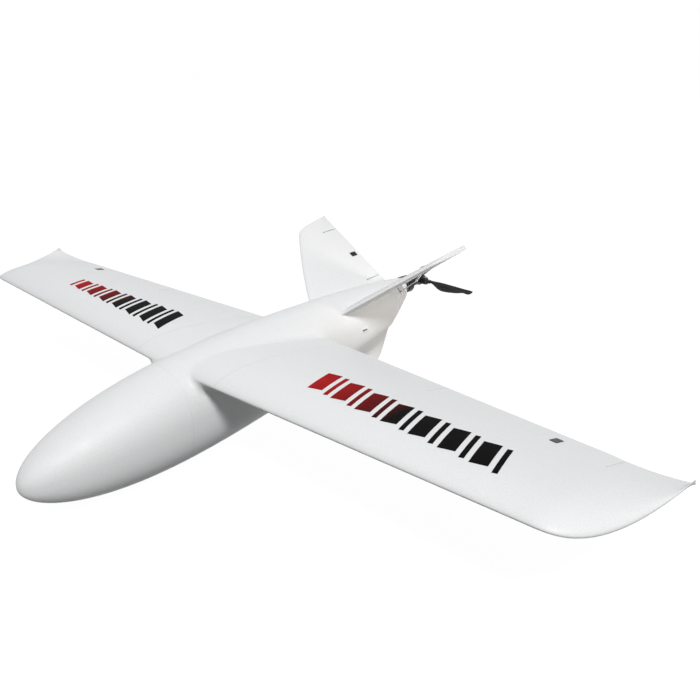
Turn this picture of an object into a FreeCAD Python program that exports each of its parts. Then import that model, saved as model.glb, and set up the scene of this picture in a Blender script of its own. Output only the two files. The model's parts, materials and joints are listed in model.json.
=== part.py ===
"""Fixed wing drone: pusher propeller, V-tail, two-piece plug-in wing.

Millimetres, +X to port, +Y aft, +Z up. The shapes are drawn level, in the
aircraft's datum frame, whose origin is where the wing's trailing edges would
meet on the centre plane. stand() then sets the aircraft nose-up on its belly
skid and ventral fin, with the ground at Z = 0.
"""
import FreeCAD, Part
import math
import os

V = FreeCAD.Vector

# ---------------------------------------------------------------- driving sizes
# Body
NOSE_Y = -499.8
NOSE_Z = -86.5
BODY_LENGTH = 754.8          # length that the body's curves are defined over
BODY_END_Y = 246.0
NOSE_SEAM_Y = -275.5
FOAM_WALL = 8.0
CAVITY_END_Y = 118.0
SPIGOT = 8.0                 # how far the body's front ring plugs into the nose
RING_INSET = 15.0
# Bernstein weights of the body's half width, rise and drop, against sqrt(t)
WIDTH_WEIGHTS = (169.8, 154.5, 96.8, 64.0, 47.4, 34.6)
RISE_WEIGHTS = (190.9, 209.1, 172.9, 163.3, 147.3, 124.1)
DROP_WEIGHTS = (150.1, 108.9, 37.6, 13.4, -6.3, -75.0)
SECTION_POWER = 2.38         # superellipse power of the body's sections
BODY_SIDE_X = 36.5           # wing root corners start inside this distance from the centre
TAPER_START_Y = 180.0        # aft of here the tail closes in towards the motor
TAPER_RUN = 80.0
TAPER_END_HALF = 4.0
KEEL_POWER = 1.15            # sections' lower half turns into a keel of this power at the tail

# Wing
HALF_SPAN = 675.0
DIHEDRAL = 0.024             # rise of the wing per unit of span
LE_Y = -257.8
LE_SWEEP = 0.010
LE_Z = 6.0
TE_SWEEP = -0.107
WING_THICKNESS = 0.105       # thickness over chord
TE_THICKNESS = 1.6
WING_SEAM_X = 96.0           # where a wing panel meets the body's root fairing
SEAM_GAP = 0.3
ROOT_FILLET = 14.0
ROOT_RIB = 2.0
TIP_START_X = 576.0
TIP_POWER = 3.04             # how squarely the leading edge turns into the tip
TIP_TE_RAKE = 22.4
TIP_CORNER_CHORD = 4.0
TIP_RISE_START_X = 575.0
TIP_RISE = 12.9
TIP_DROOP = 30.0             # how strongly the tip's leading edge hangs below that rise
TIP_DROOP_POWER = 2.65
MAIN_SPAR = dict(radius=5.0, wall=1.0, reach=330.0, y=-178.0, z=13.0)
REAR_SPAR = dict(radius=3.0, wall=0.75, reach=180.0, y=-80.0, z=9.0)
SPAR_FIT = 0.05

# Tail
FIN_ANGLE = math.radians(33.1)
FIN_TILT = 0.160             # rise of the fin's plane per unit of length aft
FIN_ORIGIN = V(30.0, 61.0, 20.6)
FIN_SPAN = 175.0
FIN_THICKNESS = 13.0
FIN_TAPER = 0.35             # part of the thickness lost by the tip
FIN_LE = (-17.0, 0.463, 0.000676)
FIN_TE = (157.0, -0.042)
FIN_TIP_START = 140.0
FIN_TIP_POWER = 5.9
FIN_TENON = 18.0             # how far the fin's blank reaches inside the body
FIN_TRIM = ((-1.0, -30.0), (-18.5, 165.0))
FIN_SPAR = dict(radius=2.5, y=95.0, start=-18.0, end=112.0)
VENTRAL_THICKNESS = 8.0

# Control surfaces
AILERON_X = (318.0, 590.0)
AILERON_CHORD = 38.0
AILERON_HORN_X = 516.0
RUDDERVATOR_S = (10.0, 140.0)
RUDDERVATOR_CHORD = 34.0
RUDDERVATOR_HORN_S = 72.0
HINGE_GAP = 0.5              # each side of a hinge axis, on the upper skin
HINGE_BEVEL = math.radians(29.0)
FOOT_INSET = 2.0             # how much shorter a horn's foot is than its backing plate at each end
SIDE_GAP = 1.2               # at each end of a control surface
PIN_RADIUS = 0.8
PIN_FIT = 0.08

# Linkage of one control surface: sizes of the servo, the arm and the horn
WING_LINK = dict(lead=62.0, crank=20.0, case=(24.0, 23.0, 12.0), shaft_back=6.0,
                 end_radius=2.6, plate=(10.0, 14.0), plate_y=10.0)
TAIL_LINK = dict(lead=46.0, crank=14.0, case=(16.0, 19.0, 7.4), shaft_back=4.5,
                 end_radius=2.2, plate=(9.0, 13.0), plate_y=20.0)
SERVO_SIDE_X = -4.0          # the face of the servo's case that its arm turns beside
TAB_X = (-13.0, -11.0)       # the servo's mounting tabs
TAB_REACH = 4.0
POCKET_GAP = 0.3
SERVO_SHAFT_RADIUS = 1.5
FOOT_DEPTH = 2.2             # of a horn's foot, below the skin
FOOT_LET_IN = 1.2
ARM_THICKNESS = 1.6
ROD_OFFSET = 2.5

# Power unit, on the thrust line x = 0, z = THRUST_Z
THRUST_Z = 24.0
FLANGE_RADIUS = 16.0
FLANGE_THICKNESS = 3.0
PLUG_RADIUS = 11.0           # of the motor mount, where it is let into the tail
PLUG_DEPTH = 14.0
BELL_RADIUS = 16.0
BELL_LENGTH = 12.5
BELL_GAP = 2.6               # between the mount and the bell's open end
BELL_WALL = 1.6
BELL_BACK = 3.0
BELL_WINDOW_RING = 10.5
CORE_RADIUS = 12.6
CORE_RUN = (4.0, 10.0)       # of the stator's wound core, aft of the mount
CORE_SLOTS = 12
SHAFT_RADIUS = 2.0
ADAPTER_RADIUS = 7.8
HUB_Y = 300.0
HUB_RADIUS = 9.5
HUB_CAP_RADIUS = 7.0
HUB_CAP_LENGTH = 8.0
SHAFT_END_Y = 310.0
PIVOT_X = 14.0
BLADE_LENGTH = 108.0
BLADE_ROOT_CHORD = 5.0
BLADE_CHORD = 16.0
BLADE_TIP_CHORD = 2.5
BLADE_WIDEST = 0.38
BLADE_EDGE_Z = 2.4           # height of the straight upper edge over the pivot
BLADE_PIN_RADIUS = 1.5
FOLDED_BLADE_ANGLE = 74.0    # degrees that the starboard blade is swung aft

# Stance
PITCH = 3.085                # degrees nose-up at rest
STAND_SHIFT = V(0.0, 49.503, 115.6)

# Pieces let into the body or standing on its tray
SKID_Y = (-270.0, -194.0)
SKID_HALF_WIDTH = 18.0
SKID_THICKNESS = 9.0
TRAY_Y = (-262.0, 60.0)
TRAY_TOP = -59.0
TRAY_THICKNESS = 3.0
BATTERY = (44.0, 130.0, 40.0)
BATTERY_Y = -258.0
STRAP_Y = (-205.0, -185.0)
STRAP_THICKNESS = 1.2


# ---------------------------------------------------------------- small helpers
def bernstein(weights, t):
    n = len(weights) - 1
    return sum(math.comb(n, i) * t**i * (1 - t)**(n - i) * w for i, w in enumerate(weights))


def box(low, high):
    size = [h - l for l, h in zip(low, high)]
    return Part.makeBox(*size, V(*low))


def rod(start, end, radius):
    run = end - start
    return Part.makeCylinder(radius, run.Length, start, run)


def turned(y0, y1, radius):
    """A cylinder on the thrust line."""
    return rod(V(0, y0, THRUST_Z), V(0, y1, THRUST_Z), radius)


def prism(points, axis_run):
    """A flat polygon pushed along a vector."""
    return Part.Face(Part.makePolygon(points + [points[0]])).extrude(axis_run)


def mirrored(shape):
    return shape.mirror(V(0, 0, 0), V(1, 0, 0))


def smooth_wire(points):
    curve = Part.BSplineCurve()
    curve.interpolate(points, PeriodicFlag=True)
    return Part.Wire(curve.toShape())


def single(shape):
    """The one solid of a shape, after a boolean left it in a compound."""
    solids = shape.Solids
    if len(solids) != 1:
        volumes = ", ".join("%.1f" % s.Volume for s in solids)
        raise ValueError("%d solids where one was expected: %s" % (len(solids), volumes))
    return solids[0]


def fused(first, *others):
    return single(first.multiFuse(list(others)))


def local_frame(origin, along, up):
    """Placement whose X runs along a hinge and whose Z is near a given up vector."""
    x = V(along).normalize()
    y = V(up).cross(x).normalize()
    z = x.cross(y)
    matrix = FreeCAD.Matrix(x.x, y.x, z.x, origin.x, x.y, y.y, z.y, origin.y,
                            x.z, y.z, z.z, origin.z, 0, 0, 0, 1)
    return FreeCAD.Placement(matrix)


def placed(shape, placement):
    out = shape.copy()
    out.transformShape(placement.toMatrix())
    return out


def stand(shape):
    """The shape moved from the datum frame to the standing frame."""
    out = shape.copy()
    out.rotate(V(0, 0, 0), V(1, 0, 0), -PITCH)
    out.translate(STAND_SHIFT)
    return out


def lying(shape):
    """The shape moved from the standing frame back to the datum frame."""
    out = shape.copy()
    out.translate(-STAND_SHIFT)
    out.rotate(V(0, 0, 0), V(1, 0, 0), PITCH)
    return out


# ---------------------------------------------------------------- body
def tail_run(y):
    """0 forward of the tail's taper, rising to about 1 where the body would close."""
    return max(0.0, (y - TAPER_START_Y) / TAPER_RUN)


def body_limits(y):
    """Half width, top and bottom of the body at station y."""
    t = (y - NOSE_Y) / BODY_LENGTH
    root = math.sqrt(t)
    closing = tail_run(y) ** 2
    half = root * bernstein(WIDTH_WEIGHTS, t) * (1 - closing) + TAPER_END_HALF * closing
    top = NOSE_Z + root * bernstein(RISE_WEIGHTS, t)
    bottom = NOSE_Z - root * bernstein(DROP_WEIGHTS, t)
    return half, top, bottom


def body_section(y, inset=0.0, count=36):
    half, top, bottom = body_limits(y)
    half -= inset
    height = (top - bottom) / 2 - inset
    middle = (top + bottom) / 2
    keel = SECTION_POWER + (KEEL_POWER - SECTION_POWER) * min(1.0, 2 * tail_run(y))
    points = []
    for i in range(count):
        a = 2 * math.pi * (i + 0.5) / count
        c, s = math.cos(a), math.sin(a)
        power = keel if s < 0 else SECTION_POWER
        px = math.copysign(abs(c) ** (2 / power), c) * half
        pz = math.copysign(abs(s) ** (2 / power), s) * height + middle
        points.append(V(px, y, pz))
    return smooth_wire(points)


def body_stations(start_y, end_y, count):
    """Stations that crowd towards the nose, where the body curves most."""
    u0 = math.sqrt((start_y - NOSE_Y) / BODY_LENGTH)
    u1 = math.sqrt((end_y - NOSE_Y) / BODY_LENGTH)
    steps = [u0 + (u1 - u0) * i / (count - 1) for i in range(count)]
    return [NOSE_Y + BODY_LENGTH * u * u for u in steps]


def body_loft(start_y, end_y, inset, count):
    return Part.makeLoft([body_section(y, inset) for y in body_stations(start_y, end_y, count)], True)


def outer_body():
    """The whole streamlined body, closed at the nose tip."""
    tip = Part.Vertex(V(0, NOSE_Y, NOSE_Z))
    first_y = NOSE_Y + 0.7
    wires = [body_section(y) for y in body_stations(first_y, TAPER_START_Y, 20)]
    front = Part.makeLoft([tip] + wires, True)
    count = 8
    run = (BODY_END_Y - TAPER_START_Y) / (count - 1)
    tail = Part.makeLoft([body_section(TAPER_START_Y + run * i) for i in range(count)], True)
    return fused(front, tail)


def slab(y0, y1):
    """Everything near the aircraft between two stations."""
    reach = 400.0
    return box((-reach, y0, -reach), (reach, y1, reach))


def nose_cone(body):
    """Hollow foam nose with a rebate that the body's front ring plugs into."""
    rebate_y = NOSE_SEAM_Y - SPIGOT - SEAM_GAP
    ring_y = rebate_y - 12.0
    shell = body.common(slab(NOSE_Y - 10, NOSE_SEAM_Y - SEAM_GAP / 2))
    shell = shell.cut(body_loft(-478.0, ring_y, FOAM_WALL - 1, 8))
    shell = shell.cut(body_loft(ring_y - 1, rebate_y + 1, RING_INSET, 4))
    return single(shell.cut(body_loft(rebate_y, NOSE_SEAM_Y + 1, FOAM_WALL / 2, 4)))


def magnets(face_y, depth):
    """Four disc magnets let into a ring's face, from face_y forward or aft by depth."""
    half, top, bottom = body_limits(NOSE_SEAM_Y)
    reach_x = half - FOAM_WALL - 2.5
    reach_z = (top - bottom) / 2 - FOAM_WALL - 2.5
    middle = (top + bottom) / 2
    spots = [(reach_x, middle), (-reach_x, middle), (0.0, middle + reach_z), (0.0, middle - reach_z)]
    return [rod(V(x, face_y, z), V(x, face_y + depth, z), 3.0) for x, z in spots]


# ---------------------------------------------------------------- wing surface
def aerofoil(c):
    """Upper and lower ordinates of a lightly cambered aerofoil, per unit chord."""
    half = 5 * WING_THICKNESS * (0.2969 * math.sqrt(c) - 0.1260 * c - 0.3516 * c**2
                                 + 0.2843 * c**3 - 0.1036 * c**4)
    camber = 0.10 * c * (1 - c) * (1.0 - 0.35 * c)
    return camber + half, camber - half


def wing_outline(x):
    """Leading edge y and z, trailing edge y and z, at spanwise station x."""
    le_y = LE_Y + LE_SWEEP * x
    te_y = TE_SWEEP * x
    le_z = LE_Z + DIHEDRAL * x
    te_z = DIHEDRAL * x
    if x > TIP_START_X:
        f = (x - TIP_START_X) / (HALF_SPAN - TIP_START_X)
        te_y = TE_SWEEP * TIP_START_X - TIP_TE_RAKE * f
        le_y += (te_y - TIP_CORNER_CHORD - le_y) * f**TIP_POWER
    if x > TIP_RISE_START_X:
        g = (x - TIP_RISE_START_X) / (HALF_SPAN - TIP_RISE_START_X)
        le_z += TIP_RISE * g**2 - TIP_DROOP * 4 * g**TIP_DROOP_POWER * (1 - g)
        te_z += TIP_RISE * g**2
    return le_y, le_z, te_y, te_z


def wing_skin(x, c):
    """Upper and lower skin points at station x and chord fraction c."""
    le_y, le_z, te_y, te_z = wing_outline(x)
    chord = te_y - le_y
    thick = max(chord, 30.0)
    up, low = aerofoil(c)
    y = le_y + chord * c
    z = le_z + (te_z - le_z) * c
    edge = TE_THICKNESS / 2 * c
    return V(x, y, z + up * thick + edge), V(x, y, z + low * thick - edge)


def wing_skin_at(x, y):
    le_y, _, te_y, _ = wing_outline(x)
    return wing_skin(x, (y - le_y) / (te_y - le_y))


def section_wire(upper, lower):
    outline = Part.BSplineCurve()
    outline.interpolate(upper[::-1] + lower[1:])
    end = Part.LineSegment(lower[-1], upper[-1])
    return Part.Wire([outline.toShape(), end.toShape()])


def cosine_steps(count):
    return [(1 - math.cos(math.pi * i / (count - 1))) / 2 for i in range(count)]


def wing_section(x):
    pairs = [wing_skin(x, c) for c in cosine_steps(17)]
    return section_wire([p[0] for p in pairs], [p[1] for p in pairs])


def wing_loft(stations, ruled=False):
    return Part.makeLoft([wing_section(x) for x in stations], True, ruled)


def wing_panel_blank(start_x):
    straight = wing_loft([start_x, TIP_RISE_START_X], ruled=True)
    run = HALF_SPAN - TIP_RISE_START_X
    count = 11
    tip = [TIP_RISE_START_X + run * math.sin(math.pi / 2 * i / (count - 1)) for i in range(count)]
    return fused(straight, wing_loft(tip))


def spar_rod(spar, start_x, end_x, extra=0.0):
    return rod(V(start_x, spar["y"], spar["z"]), V(end_x, spar["y"], spar["z"]), spar["radius"] + extra)


def spar_tube(spar):
    outer = spar_rod(spar, -spar["reach"], spar["reach"])
    return single(outer.cut(spar_rod(spar, -spar["reach"], spar["reach"], -spar["wall"])))


def spar_bores(start_x):
    """The holes that both spars slide in, from start_x to just past their ends."""
    return [spar_rod(s, start_x, s["reach"] + 1.0, SPAR_FIT) for s in (MAIN_SPAR, REAR_SPAR)]


# ---------------------------------------------------------------- tail surfaces
def fin_outline(s):
    a, b, c = FIN_LE
    le = a + b * s + c * s * s
    te = FIN_TE[0] + FIN_TE[1] * s
    if s > FIN_TIP_START:
        f = (s - FIN_TIP_START) / (FIN_SPAN - FIN_TIP_START)
        le += (te - TIP_CORNER_CHORD - le) * f**FIN_TIP_POWER
    return le, te


def fin_half_thickness(s, c):
    thick = FIN_THICKNESS * (1 - FIN_TAPER * s / FIN_SPAN)
    shape = 5 * (0.2969 * math.sqrt(c) - 0.1260 * c - 0.3516 * c**2 + 0.2843 * c**3 - 0.1036 * c**4)
    return thick * shape + TE_THICKNESS / 2 * c


def fin_half_at(s, y):
    le, te = fin_outline(s)
    return fin_half_thickness(s, (y - le) / (te - le))


def fin_section(s):
    le, te = fin_outline(s)
    steps = cosine_steps(15)
    upper = [V(s, le + (te - le) * c, fin_half_thickness(s, c)) for c in steps]
    lower = [V(p.x, p.y, -p.z) for p in upper]
    return section_wire(upper, lower)


def fin_blank():
    """A tail fin in its own plane: X along the span, Y aft, Z towards the upper side."""
    inner = [-FIN_TENON, 35.0, 88.0, FIN_TIP_START]
    run = FIN_SPAN - FIN_TIP_START
    count = 9
    outer = [FIN_TIP_START + run * math.sin(math.pi / 2 * i / (count - 1)) for i in range(count)]
    root = Part.makeLoft([fin_section(s) for s in inner], True)
    (front_s, front_y), (rear_s, rear_y) = FIN_TRIM
    inboard = -2 * FIN_TENON
    trim = prism([V(inboard, front_y, -20), V(front_s, front_y, -20), V(rear_s, rear_y, -20),
                  V(inboard, rear_y, -20)], V(0, 0, 40))
    return single(fused(root, Part.makeLoft([fin_section(s) for s in outer], True)).cut(trim))


FIN_FRAME = local_frame(FIN_ORIGIN, V(math.cos(FIN_ANGLE), 0, math.sin(FIN_ANGLE)),
                        V(-math.sin(FIN_ANGLE), -FIN_TILT * math.cos(FIN_ANGLE), math.cos(FIN_ANGLE)))


def fin_spar():
    return rod(V(FIN_SPAR["start"], FIN_SPAR["y"], 0), V(FIN_SPAR["end"], FIN_SPAR["y"], 0),
               FIN_SPAR["radius"])


def ventral_fin():
    """Keel fin under the tail. Its top edge is a tongue inside the body."""
    outline = [V(0, 96, -60), V(0, 221, -16), V(0, 212, -42), V(0, 204, -60), V(0, 194, -84),
               V(0, 187, -97), V(0, 174, -108), V(0, 160, -125), V(0, 140, -125), V(0, 118, -86)]
    blank = prism(outline, V(VENTRAL_THICKNESS, 0, 0))
    blank.translate(V(-VENTRAL_THICKNESS / 2, 0, 0))
    upright = [e for e in blank.Edges if abs(e.BoundBox.XLength) < 0.01 and e.BoundBox.YMin > 100]
    rounded = blank.makeFillet(VENTRAL_THICKNESS * 0.42, [e for e in upright if e.BoundBox.YMin > 190])
    ground = lying(box((-50, -600, -80), (50, 600, 0)))
    return single(rounded.cut(ground))


# ---------------------------------------------------------------- hinge cuts
def hinge_prisms(length):
    """Two tools in a hinge frame: what the panel loses, and what the surface keeps."""
    high, low, aft = 15.0, -60.0, 90.0
    slope = math.tan(HINGE_BEVEL)
    opening = [V(0, -HINGE_GAP, high), V(0, aft, high), V(0, aft, low), V(0, -HINGE_GAP, low)]
    surface = [V(SIDE_GAP, HINGE_GAP, high), V(SIDE_GAP, aft, high), V(SIDE_GAP, aft, low),
               V(SIDE_GAP, HINGE_GAP - low * slope, low), V(SIDE_GAP, HINGE_GAP, 0)]
    return (prism(opening, V(length, 0, 0)), prism(surface, V(length - 2 * SIDE_GAP, 0, 0)))


def aileron_hinge_point(x):
    return wing_skin_at(x, wing_outline(x)[2] - AILERON_CHORD)[0]


def ruddervator_hinge_point(s):
    y = fin_outline(s)[1] - RUDDERVATOR_CHORD
    return V(s, y, fin_half_at(s, y))


# ---------------------------------------------------------------- linkage
def servo(link):
    """Servo lying on its side, its shaft along X, in the linkage's frame."""
    length, breadth, thick = link["case"]
    aft = -link["lead"] + link["shaft_back"]
    z = link["pivot_z"]
    half = thick / 2
    case = box((SERVO_SIDE_X - length, aft - breadth, z - half), (SERVO_SIDE_X, aft, z + half))
    tab = box((TAB_X[0], aft - breadth - TAB_REACH, z - half), (TAB_X[1], aft + TAB_REACH, z + half))
    shaft = rod(V(SERVO_SIDE_X, -link["lead"], z), V(-0.7, -link["lead"], z), SERVO_SHAFT_RADIUS)
    return fused(case, tab, shaft)


def servo_pocket(link):
    """The hole in the foam that the servo and its arm need, open downwards."""
    length, breadth, thick = link["case"]
    aft = -link["lead"] + link["shaft_back"]
    z = link["pivot_z"]
    gap = POCKET_GAP
    low, high = z - 60, z + thick / 2 + gap
    case = box((SERVO_SIDE_X - length - gap, aft - breadth - gap, low), (SERVO_SIDE_X + 0.1, aft + gap, high))
    tab = box((TAB_X[0] - gap, aft - breadth - TAB_REACH - gap, low),
              (TAB_X[1] + gap, aft + TAB_REACH + gap, high))
    swing = link["crank"] * 0.62
    slot = box((SERVO_SIDE_X, -link["lead"] - swing, low), (5.0, -link["lead"] + swing, z + link["hub_room"]))
    return case.multiFuse([tab, slot])


def servo_arm(link):
    z = link["pivot_z"]
    centre = V(-ARM_THICKNESS / 2, -link["lead"], z)
    tip = V(-ARM_THICKNESS / 2, -link["lead"], z - link["crank"])
    across = V(ARM_THICKNESS, 0, 0)
    hub_radius = link["hub_room"] - 0.6
    hub = rod(centre - V(2.2, 0, 0), centre + across, hub_radius)
    end = rod(tip, tip + across, link["end_radius"])
    web = prism([centre + V(0, -hub_radius * 0.8, 0), centre + V(0, hub_radius * 0.8, 0),
                 tip + V(0, link["end_radius"] * 0.95, 0), tip + V(0, -link["end_radius"] * 0.95, 0)], across)
    bore = rod(centre - V(2.3, 0, 0), V(-0.6, -link["lead"], z), SERVO_SHAFT_RADIUS + SPAR_FIT)
    pin_hole = rod(tip - V(3, 0, 0), tip + V(6, 0, 0), PIN_RADIUS + PIN_FIT)
    return single(fused(hub, web, end).cut(bore).cut(pin_hole))


def pushrod(link):
    """Bent wire: its two ends turn in through the arm's and the horn's holes."""
    start = V(ROD_OFFSET, -link["lead"], link["pivot_z"] - link["crank"])
    end = V(ROD_OFFSET, 0, -link["crank"])
    inward = V(ROD_OFFSET + ARM_THICKNESS / 2 + 1.2, 0, 0)
    pieces = [rod(start, end, PIN_RADIUS)]
    for corner in (start, end):
        pieces.append(Part.makeSphere(PIN_RADIUS, corner))
        pieces.append(rod(corner, corner - inward, PIN_RADIUS))
    return fused(*pieces)


def horn_base(link):
    """Foot of the horn, on the surface's lower skin."""
    wide, deep = link["plate"]
    half = deep / 2 - FOOT_INSET
    y = link["plate_y"]
    skin = link["lower_skin"](y)
    return box((-wide / 2, y - half, skin - FOOT_DEPTH), (wide / 2, y + half, skin + FOOT_LET_IN))


def control_horn(link):
    y = link["plate_y"]
    top = link["lower_skin"](y) - FOOT_DEPTH
    pin = V(-ARM_THICKNESS / 2, 0, -link["crank"])
    radius = link["end_radius"]
    across = V(ARM_THICKNESS, 0, 0)
    web = prism([V(pin.x, y - 4, top), V(pin.x, y + 4, top), V(pin.x, radius * 0.5, pin.z - radius * 0.85),
                 V(pin.x, -radius * 0.5, pin.z + radius * 0.85)], across)
    hole = rod(pin - V(3, 0, 0), pin + V(6, 0, 0), PIN_RADIUS + 2 * PIN_FIT)
    return single(fused(horn_base(link), web, rod(pin, pin + across, radius)).cut(hole))


def backing_plate(link):
    """Thin plate on the upper skin that clamps the horn through the foam."""
    wide, deep = link["plate"]
    y = link["plate_y"]
    high = link["upper_skin"](y - deep / 2)
    low = link["upper_skin"](y + deep / 2)
    outline = [V(-wide / 2, y - deep / 2, high + 0.9), V(-wide / 2, y + deep / 2, low + 0.9),
               V(-wide / 2, y + deep / 2, low - 0.5), V(-wide / 2, y - deep / 2, high - 0.5)]
    return prism(outline, V(wide, 0, 0))


def linkage_parts(link):
    return {"servo": servo(link), "servo_arm": servo_arm(link), "pushrod": pushrod(link),
            "control_horn": control_horn(link), "horn_backing_plate": backing_plate(link)}


# ---------------------------------------------------------------- power unit
def motor_mount():
    flange = turned(BODY_END_Y, BODY_END_Y + FLANGE_THICKNESS, FLANGE_RADIUS)
    plug = turned(BODY_END_Y - PLUG_DEPTH, BODY_END_Y, PLUG_RADIUS)
    bore = turned(BODY_END_Y - PLUG_DEPTH - 1, BODY_END_Y + FLANGE_THICKNESS + 1, 4.2)
    return single(fused(flange, plug).cut(bore))


def screw_ring(y0, y1, ring_radius, head_radius, shank_radius, shank_length, phase):
    """Four screws in a ring on the thrust line, heads from y0 to y1, shanks forward."""
    screws = []
    for i in range(4):
        a = phase + math.pi / 2 * i
        x, z = ring_radius * math.cos(a), THRUST_Z + ring_radius * math.sin(a)
        head = rod(V(x, y0, z), V(x, y1, z), head_radius)
        shank = rod(V(x, y0 - shank_length, z), V(x, y0, z), shank_radius)
        screws.append(fused(head, shank))
    return screws


def motor_stator():
    """Base plate, bearing tube and wound core, fixed to the mount."""
    start = BODY_END_Y + FLANGE_THICKNESS
    core_start, core_end = start + CORE_RUN[0], start + CORE_RUN[1]
    base = turned(start, start + 1.6, 10.8)
    bearing_tube = turned(start + 1.6, core_end + 1, 4.0)
    core = turned(core_start, core_end, CORE_RADIUS)
    slots = []
    for i in range(CORE_SLOTS):
        slot = box((-0.9, core_start - 1, 7.5), (0.9, core_end + 1, CORE_RADIUS + 1))
        slot.rotate(V(0, 0, 0), V(0, 1, 0), 360.0 / CORE_SLOTS * i)
        slot.translate(V(0, 0, THRUST_Z))
        slots.append(slot)
    return single(fused(base, bearing_tube, core.cut(slots[0].multiFuse(slots[1:]))).cut(
        turned(start - 1, core_end + 2, SHAFT_RADIUS + SPAR_FIT)))


def motor_bell():
    """Rotating can: open in front, with six windows in its rear wall."""
    end = bell_end_y()
    start = end - BELL_LENGTH
    inside = turned(start - 1, end - BELL_BACK, BELL_RADIUS - BELL_WALL)
    through = (end - BELL_BACK - 1, end + 1)
    shell = turned(start, end, BELL_RADIUS).cut(inside).cut(turned(*through, SHAFT_RADIUS))
    for i in range(6):
        a = math.pi / 3 * i
        x, z = BELL_WINDOW_RING * math.cos(a), THRUST_Z + BELL_WINDOW_RING * math.sin(a)
        shell = shell.cut(rod(V(x, through[0], z), V(x, through[1], z), 3.0))
    return single(shell)


def bell_end_y():
    return BODY_END_Y + FLANGE_THICKNESS + BELL_GAP + BELL_LENGTH


def propeller_shaft():
    return turned(BODY_END_Y + FLANGE_THICKNESS + 1, SHAFT_END_Y, SHAFT_RADIUS)


def propeller_adapter():
    """Long flanged collet between the bell and the hub."""
    start = bell_end_y()
    collet = turned(start, HUB_Y - 7, ADAPTER_RADIUS)
    neck = turned(HUB_Y - 7, HUB_Y - 5, 5.0)
    return single(fused(collet, neck).cut(turned(start - 1, HUB_Y, SHAFT_RADIUS)))


def propeller_hub():
    """Yoke: a block with a fork at each side for the blade roots."""
    block = turned(HUB_Y - 5, HUB_Y + 5, HUB_RADIUS)
    ends = [rod(V(x, HUB_Y, THRUST_Z - 6), V(x, HUB_Y, THRUST_Z + 6), 4.5) for x in (-PIVOT_X, PIVOT_X)]
    arm = box((-PIVOT_X, HUB_Y - 4.5, THRUST_Z - 6), (PIVOT_X, HUB_Y + 4.5, THRUST_Z + 6))
    yoke = fused(block, arm, *ends)
    for side in (-1, 1):
        inner, outer = sorted((side * 8.6, side * 25.0))
        yoke = yoke.cut(box((inner, HUB_Y - 10, THRUST_Z - 3.4), (outer, HUB_Y + 10, THRUST_Z + 3.4)))
        pin = V(side * PIVOT_X, HUB_Y, THRUST_Z)
        yoke = yoke.cut(rod(pin - V(0, 0, 9), pin + V(0, 0, 9), BLADE_PIN_RADIUS))
    return single(yoke.cut(turned(HUB_Y - 6, HUB_Y + 6, SHAFT_RADIUS)))


def blade_pin(side):
    """Screw through the fork, with its head on top."""
    foot = V(side * PIVOT_X, HUB_Y, THRUST_Z - 6.5)
    head = V(side * PIVOT_X, HUB_Y, THRUST_Z + 6)
    return fused(rod(foot, head, BLADE_PIN_RADIUS), rod(head, head + V(0, 0, 1.8), 2.8))


def blade_chord(f):
    """Chord at fraction f of the blade: narrow root, widest at BLADE_WIDEST, tapered tip."""
    if f < BLADE_WIDEST:
        rise = (1 - math.cos(math.pi * max(0.0, f - 0.09) / (BLADE_WIDEST - 0.09))) / 2
        return BLADE_ROOT_CHORD + (BLADE_CHORD - BLADE_ROOT_CHORD) * rise
    return BLADE_CHORD - (BLADE_CHORD - BLADE_TIP_CHORD) * ((f - BLADE_WIDEST) / (1 - BLADE_WIDEST)) ** 1.5


def blade_section(r):
    """Aerofoil of the blade at distance r from its pivot, along +X, with a straight upper edge."""
    f = r / BLADE_LENGTH
    chord = blade_chord(f)
    pitch = math.radians(46 - 30 * f)
    thick = 5.2 - 4.0 * f**0.6
    shift = BLADE_EDGE_Z - chord / 2 * math.cos(pitch)
    points = []
    count = 20
    for i in range(count):
        a = 2 * math.pi * i / count
        along = math.cos(a) * chord / 2
        across = math.sin(a) * thick / 2 * (1 + 0.35 * math.cos(a))
        y = along * math.sin(pitch) + across * math.cos(pitch)
        z = shift + along * math.cos(pitch) - across * math.sin(pitch)
        points.append(V(r, y, z))
    return smooth_wire(points)


def propeller_blade():
    """One blade along +X from its pivot at the origin."""
    radii = [9.0, 16.0, 24.0, 33.0, 43.0, 54.0, 66.0, 78.0, 89.0, BLADE_LENGTH]
    loft = Part.makeLoft([blade_section(r) for r in radii], True)
    eye = rod(V(0, 0, -2.9), V(0, 0, 2.9), 4.2)
    neck = box((0, -3.0, -2.9), (11.0, 3.0, 2.9))
    hole = rod(V(0, 0, -4), V(0, 0, 4), BLADE_PIN_RADIUS + PIN_FIT)
    return single(fused(eye, neck, loft).cut(hole))


# ---------------------------------------------------------------- body pieces
def belly_skid():
    """Flat-bottomed plate let into the belly, level when the aircraft stands."""
    low = stand(Part.Vertex(V(0, SKID_Y[0], -128))).Point.y
    high = stand(Part.Vertex(V(0, SKID_Y[1], -128))).Point.y
    plate = box((-SKID_HALF_WIDTH, low, 0), (SKID_HALF_WIDTH, high, SKID_THICKNESS))
    upright = [e for e in plate.Edges if e.BoundBox.ZLength > SKID_THICKNESS / 2]
    return lying(plate.makeFillet(SKID_HALF_WIDTH * 0.6, upright))


def side_vent():
    """Port cooling vent: a framed slot through the body's side."""
    return box((33.0, 91, -18), (45.9, 106, -11.5))


def vent_frame():
    return single(side_vent().cut(box((30.0, 92.5, -16.5), (50.0, 104.5, -13.0))))


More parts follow.
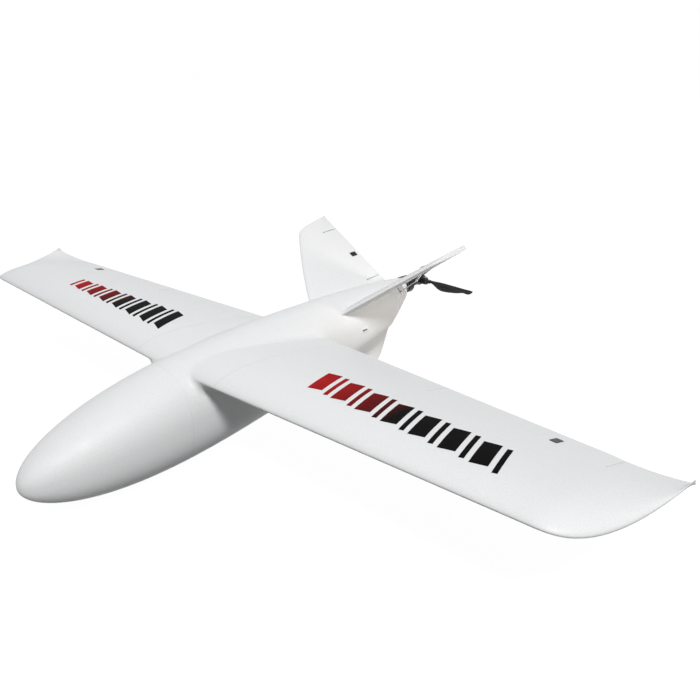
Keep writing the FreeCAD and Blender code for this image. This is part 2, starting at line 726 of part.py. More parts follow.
def fuselage_half(body, inserts):
    """Port half of the body with its wing root fairing, hollow and cut for what it holds."""
    joined = fused(body, wing_loft([25.0, WING_SEAM_X + 40], ruled=True))
    corner = [e for e in joined.Edges if 400 < e.Length < 600 and e.BoundBox.XMin < BODY_SIDE_X]
    joined = joined.makeFillet(ROOT_FILLET, corner)
    half = joined.common(box((0, NOSE_SEAM_Y, -400), (WING_SEAM_X - SEAM_GAP / 2, 400, 400)))
    port_side = box((0, -600, -400), (400, 600, 400))
    spigot = body_loft(NOSE_SEAM_Y - SPIGOT, NOSE_SEAM_Y + 1, FOAM_WALL / 2 + SEAM_GAP, 4)
    half = fused(single(half), single(spigot.common(port_side)))
    half = half.cut(body_loft(NOSE_SEAM_Y - SPIGOT - 1, NOSE_SEAM_Y + 6, RING_INSET, 3))
    half = half.cut(body_loft(NOSE_SEAM_Y + 5, CAVITY_END_Y, FOAM_WALL, 12))
    for insert in inserts:
        half = half.cut(insert)
    return single(half)


def equipment_tray():
    """Shelf across the body, let 3 mm into both walls, slotted for the battery strap."""
    shelf = body_loft(TRAY_Y[0], TRAY_Y[1], FOAM_WALL - 3, 8)
    shelf = shelf.common(box((-200, TRAY_Y[0] - 1, TRAY_TOP - TRAY_THICKNESS), (200, TRAY_Y[1] + 1, TRAY_TOP)))
    half = BATTERY[0] / 2
    for side in (-1, 1):
        inner, outer = sorted((side * (half - 0.2), side * (half + STRAP_THICKNESS + 0.2)))
        shelf = shelf.cut(box((inner, STRAP_Y[0] - 0.5, -90), (outer, STRAP_Y[1] + 0.5, -30)))
    return single(shelf)


def rounded_box(low, high, radius):
    blank = box(low, high)
    return blank.makeFillet(radius, blank.Edges)


def battery_pack():
    width, length, height = BATTERY
    return rounded_box((-width / 2, BATTERY_Y, TRAY_TOP), (width / 2, BATTERY_Y + length, TRAY_TOP + height), 2.5)


def battery_strap():
    """Strap round the battery and under the tray."""
    half = BATTERY[0] / 2
    t = STRAP_THICKNESS
    under = TRAY_TOP - TRAY_THICKNESS
    over = TRAY_TOP + BATTERY[2]
    loop = box((-half - t, STRAP_Y[0], under - t), (half + t, STRAP_Y[1], over + t))
    return single(loop.cut(box((-half, STRAP_Y[0] - 1, under), (half, STRAP_Y[1] + 1, over))))


def tray_module(y0, y1, half_width, height):
    return rounded_box((-half_width, y0, TRAY_TOP), (half_width, y1, TRAY_TOP + height), 1.5)


# ---------------------------------------------------------------- wing and tail
def hinge_frame(start, end, up):
    return local_frame(start, end - start, up)


def link_at(link, frame, upper, lower):
    """The linkage's sizes, with the skins' heights as functions of its own y."""
    inverse = frame.inverse()
    origin = frame.Base
    full = dict(link)
    full["upper_skin"] = lambda y: inverse.multVec(upper(origin.y + y)).z
    full["lower_skin"] = lambda y: inverse.multVec(lower(origin.y + y)).z
    at_servo = -link["lead"]
    full["pivot_z"] = (full["upper_skin"](at_servo) + full["lower_skin"](at_servo)) / 2
    full["hub_room"] = link["case"][2] / 2 - 0.1
    return full


def lifting_surface(blank, start, end, horn_frame, link):
    """Cuts a blank into its fixed panel and its control surface, and adds the linkage."""
    frame = hinge_frame(start, end, V(0, 0, 1))
    opening, keep = hinge_prisms((end - start).Length)
    panel = blank.cut(placed(opening, frame)).cut(placed(servo_pocket(link), horn_frame))
    surface = blank.common(placed(keep, frame))
    parts = {name: placed(shape, horn_frame) for name, shape in linkage_parts(link).items()}
    surface = surface.cut(placed(horn_base(link), horn_frame)).cut(parts["horn_backing_plate"])
    return single(panel), single(surface), parts


def port_wing():
    """Panel, root rib, aileron and linkage of the port wing."""
    rib_x = WING_SEAM_X + SEAM_GAP / 2
    blank = wing_panel_blank(rib_x + ROOT_RIB)
    rib = wing_loft([rib_x, rib_x + ROOT_RIB], ruled=True)
    for bore in spar_bores(rib_x - 5):
        blank = blank.cut(bore)
        rib = rib.cut(bore)
    start, end = (aileron_hinge_point(x) for x in AILERON_X)
    horn = local_frame(aileron_hinge_point(AILERON_HORN_X), end - start, V(0, 0, 1))
    link = link_at(WING_LINK, horn, lambda y: wing_skin_at(AILERON_HORN_X, y)[0],
                   lambda y: wing_skin_at(AILERON_HORN_X, y)[1])
    panel, aileron, parts = lifting_surface(single(blank), start, end, horn, link)
    nodes = {"wing": panel, "wing_root_rib": single(rib), "aileron": aileron}
    nodes.update({"aileron_" + name: shape for name, shape in parts.items()})
    return nodes


def port_fin():
    """Fin, ruddervator and linkage of the port tail."""
    blank = fin_blank().cut(fin_spar())
    start, end = (ruddervator_hinge_point(s) for s in RUDDERVATOR_S)
    s = RUDDERVATOR_HORN_S
    horn = local_frame(ruddervator_hinge_point(s), end - start, V(0, 0, 1))
    link = link_at(TAIL_LINK, horn, lambda y: V(s, y, fin_half_at(s, y)),
                   lambda y: V(s, y, -fin_half_at(s, y)))
    panel, surface, parts = lifting_surface(single(blank), start, end, horn, link)
    nodes = {"tail_fin": panel, "ruddervator": surface}
    nodes.update({"ruddervator_" + name: shape for name, shape in parts.items()})
    return {name: placed(shape, FIN_FRAME) for name, shape in nodes.items()}


# ---------------------------------------------------------------- propeller
def port_blade():
    blade = propeller_blade()
    blade.translate(V(PIVOT_X, HUB_Y, THRUST_Z))
    return blade


def starboard_blade():
    """The other blade, resting swung aft about its pin."""
    blade = propeller_blade()
    blade.rotate(V(0, 0, 0), V(0, 1, 0), 180)
    blade.rotate(V(0, 0, 0), V(0, 0, 1), -FOLDED_BLADE_ANGLE)
    blade.translate(V(-PIVOT_X, HUB_Y, THRUST_Z))
    return blade


def hub_cap():
    """Domed nut that clamps the hub on the shaft."""
    start = HUB_Y + 5
    cap = turned(start, start + HUB_CAP_LENGTH, HUB_CAP_RADIUS)
    rim = [e for e in cap.Edges if e.BoundBox.YMin > start + HUB_CAP_LENGTH - 1]
    cap = cap.makeFillet(HUB_CAP_RADIUS / 2, rim)
    return single(cap.cut(turned(start - 1, SHAFT_END_Y + 0.2, SHAFT_RADIUS)))


# ---------------------------------------------------------------- assembly
def build():
    """Every node of the drone, by name, in the datum frame."""
    body = outer_body()
    nodes = {"nose_cone": nose_cone(body)}
    nodes["nose_magnets"] = magnets(NOSE_SEAM_Y - SPIGOT - SEAM_GAP, -3.0)
    nodes["body_magnets"] = magnets(NOSE_SEAM_Y - SPIGOT, 3.0)
    for shape in nodes["nose_magnets"]:
        nodes["nose_cone"] = nodes["nose_cone"].cut(shape)
    nodes["nose_cone"] = single(nodes["nose_cone"])

    nodes["belly_skid"] = belly_skid()
    nodes["ventral_fin"] = ventral_fin()
    nodes["equipment_tray"] = equipment_tray()
    nodes["battery_pack"] = battery_pack()
    nodes["battery_strap"] = battery_strap()
    nodes["flight_controller"] = tray_module(-112.0, -68.0, 20.0, 14.0)
    nodes["radio_receiver"] = tray_module(-52.0, -16.0, 12.0, 12.0)
    nodes["speed_controller"] = tray_module(-4.0, 54.0, 14.0, 12.0)
    nodes["main_spar"] = spar_tube(MAIN_SPAR)
    nodes["rear_spar"] = spar_tube(REAR_SPAR)

    fin_spars = placed(fin_spar(), FIN_FRAME)
    fin_root = placed(fin_blank(), FIN_FRAME)
    nodes["fin_spars"] = [fin_spars, mirrored(fin_spars)]
    vent = vent_frame()
    nodes["side_vents"] = [vent, mirrored(vent)]
    nodes["motor_mount"] = motor_mount()
    flange_end = BODY_END_Y + FLANGE_THICKNESS
    nodes["motor_mount_screws"] = screw_ring(flange_end, flange_end + 1.8, FLANGE_RADIUS - 3, 1.8,
                                             1.1, PLUG_DEPTH, math.pi / 4)
    for screw in nodes["motor_mount_screws"]:
        nodes["motor_mount"] = nodes["motor_mount"].cut(screw)
    nodes["motor_mount"] = single(nodes["motor_mount"])

    inserts = [nodes["belly_skid"], nodes["ventral_fin"], nodes["equipment_tray"], fin_spars, fin_root,
               side_vent(), turned(BODY_END_Y - PLUG_DEPTH, BODY_END_Y + 1, PLUG_RADIUS)]
    inserts += spar_bores(-1.0) + nodes["body_magnets"] + nodes["motor_mount_screws"]
    half = fuselage_half(body, inserts)
    nodes["fuselage_port_shell"] = half
    nodes["fuselage_starboard_shell"] = mirrored(half)

    for name, shape in {**port_wing(), **port_fin()}.items():
        nodes["port_" + name] = shape
        nodes["starboard_" + name] = mirrored(shape)

    nodes["motor_stator"] = motor_stator()
    nodes["motor_bell"] = motor_bell()
    nodes["propeller_shaft"] = propeller_shaft()
    nodes["propeller_adapter"] = propeller_adapter()
    nodes["propeller_hub"] = propeller_hub()
    nodes["hub_cap"] = hub_cap()
    nodes["blade_pins"] = [blade_pin(-1), blade_pin(1)]
    nodes["port_blade"] = port_blade()
    nodes["starboard_blade"] = starboard_blade()
    return nodes


def write(name, shape):
    if isinstance(shape, list):
        shape = Part.makeCompound(shape)
    stand(shape).exportStep("parts/%s.step" % name)


if __name__ == "__main__":
    os.makedirs("parts", exist_ok=True)
    for node, geometry in build().items():
        write(node, geometry)
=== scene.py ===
import bpy
import bmesh
import json
import math
from mathutils import Matrix, Vector
from mathutils.bvhtree import BVHTree


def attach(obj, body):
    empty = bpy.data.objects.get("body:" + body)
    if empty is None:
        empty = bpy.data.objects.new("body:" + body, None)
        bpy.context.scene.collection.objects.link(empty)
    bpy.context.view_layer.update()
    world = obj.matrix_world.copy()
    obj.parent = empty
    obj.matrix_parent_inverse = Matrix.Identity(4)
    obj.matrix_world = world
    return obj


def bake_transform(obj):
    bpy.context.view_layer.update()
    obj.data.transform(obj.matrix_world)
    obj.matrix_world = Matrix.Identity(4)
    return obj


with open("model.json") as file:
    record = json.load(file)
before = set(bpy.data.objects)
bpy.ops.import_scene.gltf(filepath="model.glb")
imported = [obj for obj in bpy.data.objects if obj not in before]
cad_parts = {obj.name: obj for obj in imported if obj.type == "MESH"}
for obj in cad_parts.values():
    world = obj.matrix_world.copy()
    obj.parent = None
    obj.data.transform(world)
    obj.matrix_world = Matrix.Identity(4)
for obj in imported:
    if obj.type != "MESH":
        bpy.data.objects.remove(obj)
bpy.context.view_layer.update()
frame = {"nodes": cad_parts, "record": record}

MM = 0.001
SIDES = {"port": 1, "starboard": -1}

# The CAD is drawn level and then stood nose-up; STAND takes a level point to the row frame.
PITCH = math.radians(3.085)
STAND_SHIFT = Vector((0.0, 49.503, 115.6)) * MM
STAND = Matrix.Translation(STAND_SHIFT) @ Matrix.Rotation(-PITCH, 4, "X")


def level(x, y, z):
    """A point given level, in millimetres, as a point of the row frame."""
    return STAND @ (Vector((x, y, z)) * MM)


# Sizes of the repeats in the materials, in metres
BEAD_SIZE = 0.0034
TOW_WIDTH = 0.0022
PLY_THICKNESS = 0.0012
WEBBING_THREAD = 0.0008
LAMINATION_THICKNESS = 0.0004
GRAIN_DEPTH = 0.00003
FINE_DEPTH = 0.00002           # of brush marks, print grain and the finest mould grain
BAND_AT_SCALE_ONE = 0.3183     # about the width of one band of a wave texture of scale 1
BRUSH_STRETCH = 40.0

FOAM_TINT = (0.80, 0.80, 0.795)
FLOOR_PAPER = (0.10, 0.10, 0.10)
FLOOR_PAPER_DARK = (0.085, 0.085, 0.085)
FLOOR_GLOW = 0.97


# ------------------------------------------------------------------ node materials
class Shader:
    """A principled material with short calls for the nodes that it needs."""

    def __init__(self, name, colour, roughness, metallic=0.0, specular=0.5):
        self.material = bpy.data.materials.new(name)
        self.material.use_nodes = True
        self.tree = self.material.node_tree
        self.bsdf = self.tree.nodes["Principled BSDF"]
        self.set("Base Color", (*colour, 1.0))
        self.set("Roughness", roughness)
        self.set("Metallic", metallic)
        self.set("Specular IOR Level", specular)
        self.coords = self.tree.nodes.new("ShaderNodeTexCoord").outputs["Object"]
        self.normal = None

    def set(self, socket, value):
        self.bsdf.inputs[socket].default_value = value

    def link(self, a, b):
        self.tree.links.new(a, b)

    def node(self, kind, **inputs):
        made = self.tree.nodes.new(kind)
        for key, value in inputs.items():
            socket = made.inputs[key.replace("_", " ")]
            if hasattr(value, "is_output"):
                self.link(value, socket)
            else:
                socket.default_value = value
        return made

    def noise(self, scale, detail=3.0, roughness=0.5, vector=None, distortion=0.0):
        made = self.node("ShaderNodeTexNoise", Scale=scale, Detail=detail, Roughness=roughness,
                         Distortion=distortion, Vector=vector or self.coords)
        return made.outputs["Fac"]

    def cells(self, size):
        """0 on the outlines between beads of this size."""
        made = self.node("ShaderNodeTexVoronoi", Scale=1.0 / size, Vector=self.coords)
        made.feature = "DISTANCE_TO_EDGE"
        return made.outputs["Distance"]

    def cell_tone(self, size):
        """One random number for each bead."""
        made = self.node("ShaderNodeTexVoronoi", Scale=1.0 / size, Vector=self.coords)
        split = self.node("ShaderNodeSeparateColor", Color=made.outputs["Color"])
        return split.outputs["Red"]

    def stretched(self, x, y, z):
        made = self.node("ShaderNodeMapping", Vector=self.coords)
        made.inputs["Scale"].default_value = (x, y, z)
        return made.outputs["Vector"]

    def wave(self, size, axis):
        made = self.node("ShaderNodeTexWave", Scale=BAND_AT_SCALE_ONE / size, Vector=self.coords)
        made.bands_direction = axis
        return made.outputs["Fac"]

    def span(self, value, low, high, to_low=0.0, to_high=1.0):
        made = self.node("ShaderNodeMapRange", Value=value, From_Min=low, From_Max=high,
                         To_Min=to_low, To_Max=to_high)
        return made.outputs["Result"]

    def maths(self, operation, a, b):
        made = self.tree.nodes.new("ShaderNodeMath")
        made.operation = operation
        for socket, value in zip(made.inputs, (a, b)):
            if hasattr(value, "is_output"):
                self.link(value, socket)
            else:
                socket.default_value = value
        return made.outputs[0]

    def mix(self, factor, a, b):
        made = self.tree.nodes.new("ShaderNodeMix")
        made.data_type = "RGBA"
        colour_sockets = [s for s in made.inputs if s.type == "RGBA"]
        sockets = (made.inputs[0], colour_sockets[0], colour_sockets[1])
        for socket, value in zip(sockets, (factor, a, b)):
            if hasattr(value, "is_output"):
                self.link(value, socket)
            elif isinstance(value, tuple):
                socket.default_value = (*value, 1.0)
            else:
                socket.default_value = value
        return [o for o in made.outputs if o.type == "RGBA"][0]

    def bump(self, height, depth, strength):
        made = self.node("ShaderNodeBump", Height=height, Strength=strength, Distance=depth)
        if self.normal is not None:
            self.link(self.normal, made.inputs["Normal"])
        self.normal = made.outputs["Normal"]
        self.link(self.normal, self.bsdf.inputs["Normal"])

    def colour(self, socket):
        self.link(socket, self.bsdf.inputs["Base Color"])

    def roughness(self, socket):
        self.link(socket, self.bsdf.inputs["Roughness"])


def shaded(colour, share):
    return tuple(channel * share for channel in colour)


def foam(name):
    """Moulded bead foam: faint bead outlines, soft skin, hardly any gloss."""
    s = Shader(name, FOAM_TINT, 0.5, specular=0.35)
    edges = s.span(s.cells(BEAD_SIZE), 0.0, 0.16)
    tone = s.span(s.cell_tone(BEAD_SIZE), 0.0, 1.0, 0.0, 0.035)
    patches = s.span(s.noise(5.0, 4.0), 0.3, 0.7, 0.0, 0.035)
    cooler = (FOAM_TINT[0] * 0.90, FOAM_TINT[1] * 0.91, FOAM_TINT[2] * 0.95)
    base = s.mix(edges, shaded(FOAM_TINT, 0.955), FOAM_TINT)
    base = s.mix(tone, base, shaded(FOAM_TINT, 0.86))
    s.colour(s.mix(patches, base, cooler))
    s.roughness(s.span(s.noise(60.0, 3.0), 0.3, 0.7, 0.44, 0.58))
    s.bump(edges, 0.00006, 0.55)
    s.bump(s.noise(1500.0, 2.0), FINE_DEPTH, 0.35)
    s.set("Subsurface Weight", 0.12)
    s.set("Subsurface Radius", (0.004, 0.0036, 0.003))
    return s.material


def moulded(name, colour, roughness, grain=0.0009):
    """Moulded plastic with a spark-eroded grain and slight scuffs."""
    s = Shader(name, colour, roughness)
    scuff = s.span(s.noise(90.0, 6.0, 0.7), 0.58, 0.8, 0.0, 0.35)
    paler = tuple(min(1.0, channel * 1.6 + 0.02) for channel in colour)
    s.colour(s.mix(scuff, colour, paler))
    s.roughness(s.span(s.noise(140.0, 4.0), 0.3, 0.7, roughness - 0.07, roughness + 0.1))
    s.bump(s.noise(1.0 / grain, 2.0), GRAIN_DEPTH, 0.6)
    return s.material


def carbon(name):
    """Wound carbon tube: crossed tow bands under a clear coat."""
    s = Shader(name, (0.03, 0.03, 0.032), 0.32)
    weave = s.maths("MULTIPLY", s.wave(TOW_WIDTH, "X"), s.wave(TOW_WIDTH, "Z"))
    s.colour(s.mix(weave, (0.018, 0.018, 0.02), (0.075, 0.076, 0.08)))
    s.bump(weave, 0.00005, 0.4)
    s.set("Coat Weight", 0.5)
    s.set("Coat Roughness", 0.15)
    return s.material


def birch(name):
    """Light plywood: long grain with darker streaks."""
    s = Shader(name, (0.66, 0.50, 0.32), 0.55)
    grain = s.noise(260.0, 5.0, 0.6, s.stretched(1.0, 0.06, 1.0), 0.4)
    plies = s.wave(PLY_THICKNESS, "Z")
    base = s.mix(s.span(grain, 0.35, 0.65), (0.58, 0.41, 0.24), (0.76, 0.60, 0.40))
    s.colour(s.mix(s.span(plies, 0.4, 1.0, 0.0, 0.25), base, (0.42, 0.28, 0.15)))
    s.bump(grain, 0.00006, 0.5)
    return s.material


def webbing(name):
    """Hook-and-loop strap: a fine plain weave."""
    s = Shader(name, (0.035, 0.035, 0.038), 0.8, specular=0.3)
    weave = s.maths("MULTIPLY", s.wave(WEBBING_THREAD, "X"), s.wave(WEBBING_THREAD, "Y"))
    s.colour(s.mix(weave, (0.02, 0.02, 0.022), (0.10, 0.10, 0.11)))
    s.bump(weave, 0.0003, 0.7)
    s.set("Sheen Weight", 0.4)
    return s.material


def metal(name, colour, roughness):
    """Turned or drawn metal: fine lines along Y."""
    s = Shader(name, colour, roughness, metallic=1.0)
    lines = s.noise(60.0, 4.0, 0.6, s.stretched(BRUSH_STRETCH, 1.0, BRUSH_STRETCH))
    s.colour(s.mix(s.span(lines, 0.3, 0.7), shaded(colour, 0.82), colour))
    s.roughness(s.span(lines, 0.3, 0.7, roughness - 0.06, roughness + 0.1))
    s.bump(lines, FINE_DEPTH, 0.3)
    return s.material


def anodised(name, colour, roughness):
    """Dyed aluminium with turning lines round Y."""
    s = Shader(name, colour, roughness, metallic=0.85)
    lines = s.noise(40.0, 4.0, 0.6, s.stretched(1.0, 30.0, 1.0))
    s.colour(s.mix(s.span(lines, 0.3, 0.7), shaded(colour, 0.7), shaded(colour, 1.25)))
    s.roughness(s.span(lines, 0.3, 0.7, roughness - 0.05, roughness + 0.12))
    s.bump(lines, FINE_DEPTH, 0.25)
    return s.material


def shrink_wrap(name):
    """Glossy heat-shrunk film with soft wrinkles."""
    s = Shader(name, (0.03, 0.07, 0.17), 0.22)
    wrinkles = s.noise(35.0, 4.0, 0.55, s.stretched(1.0, 0.35, 1.0), 1.2)
    s.colour(s.mix(s.span(wrinkles, 0.35, 0.7), (0.02, 0.05, 0.13), (0.05, 0.11, 0.26)))
    s.bump(wrinkles, 0.0012, 0.35)
    s.set("Coat Weight", 0.4)
    s.set("Coat Roughness", 0.12)
    return s.material


def blade_plastic(name):
    """Glass-filled nylon: dark, satin, with flow streaks along the blade."""
    s = Shader(name, (0.02, 0.02, 0.022), 0.36)
    streaks = s.noise(120.0, 5.0, 0.6, s.stretched(0.15, 1.0, 1.0), 0.3)
    s.colour(s.mix(s.span(streaks, 0.35, 0.7), (0.016, 0.016, 0.018), (0.035, 0.035, 0.038)))
    s.roughness(s.span(streaks, 0.3, 0.7, 0.3, 0.46))
    s.bump(s.noise(1800.0, 2.0), FINE_DEPTH, 0.4)
    return s.material


def laminations(name):
    """Stack of thin steel plates along Y."""
    s = Shader(name, (0.30, 0.29, 0.28), 0.4, metallic=1.0)
    plates = s.wave(LAMINATION_THICKNESS, "Y")
    s.colour(s.mix(plates, (0.16, 0.155, 0.15), (0.42, 0.41, 0.40)))
    s.bump(plates, 0.00008, 0.6)
    return s.material


def floor_material():
    """Dim studio paper with an even glow, so that it stays white to its edge."""
    s = Shader("studio_floor", FLOOR_PAPER, 0.95, specular=0.0)
    s.colour(s.mix(s.span(s.noise(3.0, 2.0), 0.3, 0.7), FLOOR_PAPER, FLOOR_PAPER_DARK))
    s.set("Emission Color", (1.0, 1.0, 1.0, 1.0))
    s.set("Emission Strength", FLOOR_GLOW)
    return s.material


SLOT_MATERIALS = {
    "white_foam": foam("bead_foam"),
    "white_plastic": moulded("natural_nylon", (0.74, 0.74, 0.72), 0.42),
    "black_plastic": moulded("black_plastic", (0.018, 0.018, 0.02), 0.42),
    "servo_plastic": moulded("servo_case", (0.025, 0.027, 0.032), 0.3, 0.0006),
    "carbon_fibre": carbon("carbon_tube"),
    "plywood": birch("birch_ply"),
    "battery_wrap": shrink_wrap("battery_wrap"),
    "strap_webbing": webbing("strap_webbing"),
    "aluminium_case": metal("turned_aluminium", (0.60, 0.60, 0.62), 0.3),
    "motor_metal": anodised("black_anodised", (0.035, 0.035, 0.04), 0.3),
    "motor_steel": laminations("stator_laminations"),
    "steel": metal("drawn_steel", (0.50, 0.50, 0.52), 0.28),
    "magnet_nickel": metal("nickel_plate", (0.66, 0.65, 0.62), 0.2),
    "propeller_black": blade_plastic("propeller_nylon"),
}


def finish_nodes():
    """Gives every CAD node the finish of its record slot."""
    slots = {entry["node"]: entry["material_slot"] for entry in frame["record"]["subparts"]}
    for name, obj in frame["nodes"].items():
        obj.data.materials.clear()
        obj.data.materials.append(SLOT_MATERIALS[slots[name]])


# ------------------------------------------------------------------ wing graphics
DECAL_LIFT = 0.12 * MM
OVER_WING = 120.0             # level height that rays start from, above every part of the wings
BAR_COLUMNS = 6
BAR_ROWS = 14
WIDE_BAR = 23.0
NARROW_BAR = 7.0
BAR_GAP = 7.0
BAR_PAIRS = 7
CORNER_CUT = 0.12             # share of the band's depth that a wide bar's ends are skewed by
# Level frame, one row per side: where the graphic begins and ends along the span, its rear and
# front edges at those two places, and how far its bars lean outboard per unit of their depth.
BANDS = {
    "port": dict(start=205.0, end=513.0, rear=(-129.0, -153.0), front=(-193.0, -212.0), slant=0.30),
    "starboard": dict(start=136.0, end=435.0, rear=(-126.0, -155.0), front=(-203.0, -193.0), slant=-0.42),
}
# distance out from the centre at which the red has come in full, and where it is all black
FADES = {"port": (0.225, 0.375), "starboard": (0.44, 0.30)}


def decal_material(side_name):
    """Printed vinyl that fades from red to black along the span."""
    s = Shader(side_name + "_vinyl", (0.02, 0.02, 0.02), 0.7, specular=0.04)
    split = s.node("ShaderNodeSeparateXYZ", Vector=s.coords)
    streak = s.maths("MULTIPLY", s.noise(18.0, 4.0, 0.6, s.stretched(1.0, 0.25, 1.0)), 0.04)
    out = s.maths("ADD", s.maths("MULTIPLY", split.outputs["X"], float(SIDES[side_name])), streak)
    fade = s.span(out, *FADES[side_name])
    red = s.mix(s.span(s.noise(40.0, 3.0), 0.35, 0.7), (0.36, 0.006, 0.009), (0.46, 0.011, 0.013))
    s.colour(s.mix(fade, red, (0.004, 0.003, 0.003)))
    s.roughness(s.span(s.noise(300.0, 3.0), 0.3, 0.7, 0.62, 0.75))
    s.bump(s.noise(900.0, 2.0), FINE_DEPTH, 0.3)
    return s.material


def surface_tree(name):
    return BVHTree.FromObject(frame["nodes"][name], bpy.context.evaluated_depsgraph_get())


def on_wing(tree, side, x, y):
    """The point just over the wing's upper skin above level x, y."""
    start = level(side * x, y, OVER_WING)
    down = (level(side * x, y, 0.0) - start).normalized()
    spot, normal, _, _ = tree.ray_cast(start, down)
    return spot + normal * DECAL_LIFT


def between(pair, share):
    return pair[0] + (pair[1] - pair[0]) * share


def bar_patch(bm, tree, side_name, start, width):
    """One slanted bar with skewed ends, as a grid draped on the wing."""
    band = BANDS[side_name]
    cut = CORNER_CUT * min(1.0, width / WIDE_BAR)
    rows = []
    for j in range(BAR_ROWS + 1):
        row = []
        for i in range(BAR_COLUMNS + 1):
            u = i / BAR_COLUMNS
            v = cut * (1 - u) + (1 - cut) * j / BAR_ROWS
            x = start + width * u
            share = (x - band["start"]) / (band["end"] - band["start"])
            edges = (between(band["rear"], share), between(band["front"], share))
            y = between(edges, v)
            x += band["slant"] * (between(edges, 0.5) - y)
            row.append(bm.verts.new(on_wing(tree, SIDES[side_name], x, y)))
        rows.append(row)
    for near, far in zip(rows, rows[1:]):
        for i in range(BAR_COLUMNS):
            quad = [near[i], near[i + 1], far[i + 1], far[i]]
            bm.faces.new(quad[::-1] if side_name == "port" else quad)


def mesh_object(name, bm, material):
    mesh = bpy.data.meshes.new(name)
    bm.normal_update()
    bm.to_mesh(mesh)
    bm.free()
    obj = bpy.data.objects.new(name, mesh)
    bpy.context.scene.collection.objects.link(obj)
    mesh.materials.append(material)
    for polygon in mesh.polygons:
        polygon.use_smooth = True
    return obj


def wing_graphic(side_name):
    """A plain run of wide and narrow bars along the panel."""
    tree = surface_tree(side_name + "_wing")
    band = BANDS[side_name]
    pitch = (band["end"] - band["start"] + BAR_GAP) / BAR_PAIRS
    scale = pitch / (WIDE_BAR + NARROW_BAR + 2 * BAR_GAP)
    bm = bmesh.new()
    for k in range(BAR_PAIRS):
        start = band["start"] + k * pitch
        bar_patch(bm, tree, side_name, start, WIDE_BAR * scale)
        bar_patch(bm, tree, side_name, start + (WIDE_BAR + BAR_GAP) * scale, NARROW_BAR * scale)
    graphic = mesh_object(side_name + "_wing_graphic", bm, decal_material(side_name))
    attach(graphic, side_name + "_wing")


# ------------------------------------------------------------------ hinge skins
HINGE_SKIN_HALF = 3.0 * MM
HINGE_SKIN_LIFT = 0.10 * MM
HINGE_SKIN_SINK = 0.04 * MM    # its edges lie this far under the foam, so they don't show
HINGE_SKIN_END = 1.5 * MM
# Columns across the strip, as shares of its half width. Those nearest the axis bridge the gap.
HINGE_BANKS = (-1.0, -0.8, -0.55, -0.3, 0.3, 0.55, 0.8, 1.0)
HINGE_BRIDGE = (-0.15, 0.0, 0.15)
BANK_EDGE = 0.3
HINGE_ROWS = 60
RAY_HEIGHT = 30.0 * MM


def joint_entry(name):
    for entry in frame["record"]["behaviour"]["joints"]:
        if entry["name"] == name:
            return entry
    raise KeyError(name)


def nearest_hit(trees, start, direction):
    hits = [tree.ray_cast(start, direction) for tree in trees]
    hits = [hit for hit in hits if hit[0] is not None]
    return min(hits, key=lambda hit: hit[3])[0] if hits else None


def skin_row(trees, centre, across, up):
    """Points of the strip over one place on the hinge, or None where the foam ends."""
    spots = {}
    for column in HINGE_BANKS:
        start = centre + across * (HINGE_SKIN_HALF * column) + up * RAY_HEIGHT
        spot = nearest_hit(trees, start, -up)
        if spot is None:
            return None
        lift = -HINGE_SKIN_SINK if abs(column) == 1.0 else HINGE_SKIN_LIFT
        spots[column] = spot + up * lift
    for column in HINGE_BRIDGE:
        share = (column + BANK_EDGE) / (2 * BANK_EDGE)
        spots[column] = spots[-BANK_EDGE].lerp(spots[BANK_EDGE], share)
    return [spots[column] for column in sorted(spots)]


def face_upwards(bm, up):
    bm.normal_update()
    total = sum((face.normal * face.calc_area() for face in bm.faces), Vector())
    if total.dot(up) < 0:
        bmesh.ops.reverse_faces(bm, faces=bm.faces[:])


def hinge_skin(side_name, surface, carrier_node):
    """The living hinge: the foam's own skin, left whole over a control surface's hinge line."""
    joint = joint_entry(side_name + "_" + surface + "_hinge")
    origin = Vector(joint["pos_m"])
    along = Vector(joint["axis"]).normalized()
    moving = frame["nodes"][side_name + "_" + surface]
    reach = [(moving.matrix_world @ v.co - origin).dot(along) for v in moving.data.vertices]
    first, last = min(reach) + HINGE_SKIN_END, max(reach) - HINGE_SKIN_END
    aft = Vector((0.0, 1.0, 0.0))
    aft = (aft - along * aft.dot(along)).normalized()
    up = along.cross(aft)
    up = up if up.z > 0 else -up
    trees = [surface_tree(carrier_node), surface_tree(side_name + "_" + surface)]
    bm = bmesh.new()
    rows = []
    for k in range(HINGE_ROWS + 1):
        centre = origin + along * between((first, last), k / HINGE_ROWS)
        points = skin_row(trees, centre, aft, up)
        if points is None:
            continue
        if k in (0, HINGE_ROWS):
            points = [p - up * (HINGE_SKIN_LIFT + HINGE_SKIN_SINK) for p in points]
        rows.append([bm.verts.new(p) for p in points])
    for near, far in zip(rows, rows[1:]):
        for i in range(len(near) - 1):
            bm.faces.new([near[i], near[i + 1], far[i + 1], far[i]])
    face_upwards(bm, up)
    skin = mesh_object(side_name + "_" + surface + "_hinge_skin", bm, SLOT_MATERIALS["white_foam"])
    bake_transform(skin)


# ------------------------------------------------------------------ camera, light, floor
CAMERA_AZIMUTH = math.radians(45.037)
CAMERA_ELEVATION = math.radians(23.871)
CAMERA_ROLL = math.radians(2.253)
CAMERA_DISTANCE = 1.2617
CAMERA_TARGET = Vector((0.08134, 0.07282, 0.09403))
CAMERA_LENS = 39.92
CAMERA_SENSOR = 36.0
CAMERA_CLIP = (0.05, 100.0)


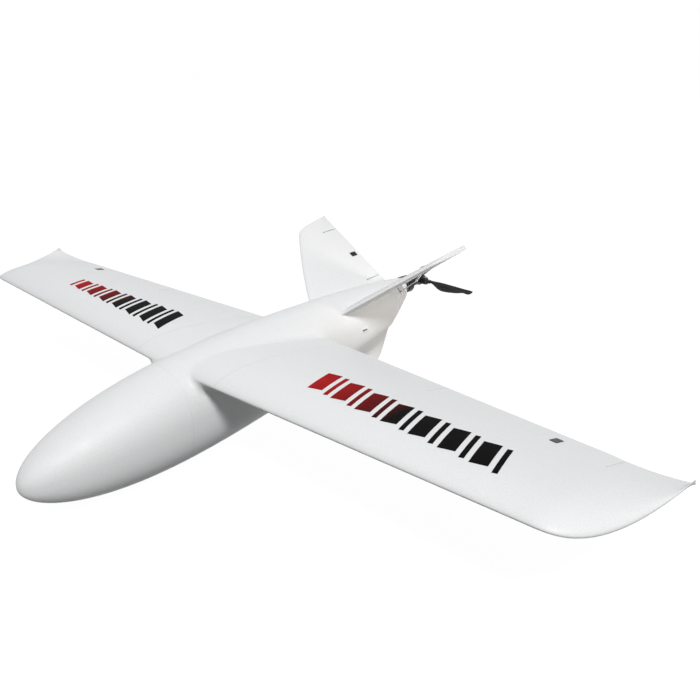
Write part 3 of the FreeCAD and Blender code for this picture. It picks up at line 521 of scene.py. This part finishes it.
def make_camera():
    data = bpy.data.cameras.new("camera")
    data.sensor_width = CAMERA_SENSOR
    data.lens = CAMERA_LENS
    data.clip_start, data.clip_end = CAMERA_CLIP
    camera = bpy.data.objects.new("camera", data)
    bpy.context.scene.collection.objects.link(camera)
    a, e = CAMERA_AZIMUTH, CAMERA_ELEVATION
    back = Vector((math.sin(a) * math.cos(e), -math.cos(a) * math.cos(e), math.sin(e)))
    camera.location = CAMERA_TARGET + back * CAMERA_DISTANCE
    turn = (-back).to_track_quat("-Z", "Y").to_matrix().to_4x4() @ Matrix.Rotation(-CAMERA_ROLL, 4, "Z")
    camera.rotation_euler = turn.to_euler()
    bpy.context.scene.camera = camera


def area_light(name, place, target, size, power, colour, spread):
    data = bpy.data.lights.new(name, "AREA")
    data.shape = "SQUARE"
    data.size = size
    data.energy = power
    data.color = colour
    data.spread = math.radians(spread)
    lamp = bpy.data.objects.new(name, data)
    bpy.context.scene.collection.objects.link(lamp)
    lamp.location = place
    lamp.rotation_euler = (Vector(target) - Vector(place)).to_track_quat("-Z", "Y").to_euler()
    lamp.visible_camera = False


# name, place, target, size of the square panel, watts, colour, spread in degrees
LIGHTS = (
    ("key", (3.7, -2.3, 5.5), (0.0, 0.0, 0.12), 1.3, 430.0, (0.985, 0.99, 1.0), 180.0),
    ("fill", (-2.5, 1.8, 2.6), (0.0, 0.0, 0.12), 2.6, 38.0, (0.95, 0.97, 1.0), 180.0),
    ("tail_bounce", (0.80, 0.62, 0.07), (0.03, 0.21, 0.08), 0.2, 0.15, (1.0, 0.95, 0.88), 30.0),
)
SKY_FILL = 0.15
SKY_COLOUR = (0.95, 0.98, 1.0, 1.0)


def make_studio():
    for light in LIGHTS:
        area_light(*light)
    world = bpy.data.worlds.new("studio")
    bpy.context.scene.world = world
    world.use_nodes = True
    background = world.node_tree.nodes["Background"]
    background.inputs["Color"].default_value = SKY_COLOUR
    background.inputs["Strength"].default_value = SKY_FILL
    bpy.context.scene.view_settings.view_transform = "Standard"


FLOOR_FLAT = 6.0              # metres out to where the paper starts to curve up
COVE_RADIUS = 3.0
FLAT_RINGS = 4
COVE_RINGS = 10
FLOOR_SEGMENTS = 96


def make_floor():
    """Round paper sweep: flat in the middle, curved up into a wall at its rim."""
    profile = [(FLOOR_FLAT * k / FLAT_RINGS, 0.0) for k in range(1, FLAT_RINGS + 1)]
    for k in range(1, COVE_RINGS + 1):
        turn = math.radians(90) * k / COVE_RINGS
        radius = FLOOR_FLAT + COVE_RADIUS * math.sin(turn)
        profile.append((radius, COVE_RADIUS * (1 - math.cos(turn))))
    bm = bmesh.new()
    rings = []
    for radius, height in profile:
        ring = []
        for k in range(FLOOR_SEGMENTS):
            turn = 2 * math.pi * k / FLOOR_SEGMENTS
            ring.append(bm.verts.new((radius * math.cos(turn), radius * math.sin(turn), height)))
        rings.append(ring)
    bm.faces.new(rings[0])
    for inner, outer in zip(rings, rings[1:]):
        for k in range(FLOOR_SEGMENTS):
            following = (k + 1) % FLOOR_SEGMENTS
            bm.faces.new([inner[k], outer[k], outer[following], inner[following]])
    floor = mesh_object("studio_floor", bm, floor_material())
    floor.visible_diffuse = False


finish_nodes()
for side_name in SIDES:
    wing_graphic(side_name)
    hinge_skin(side_name, "aileron", side_name + "_wing")
    hinge_skin(side_name, "ruddervator", side_name + "_tail_fin")
make_camera()
make_studio()
make_floor()
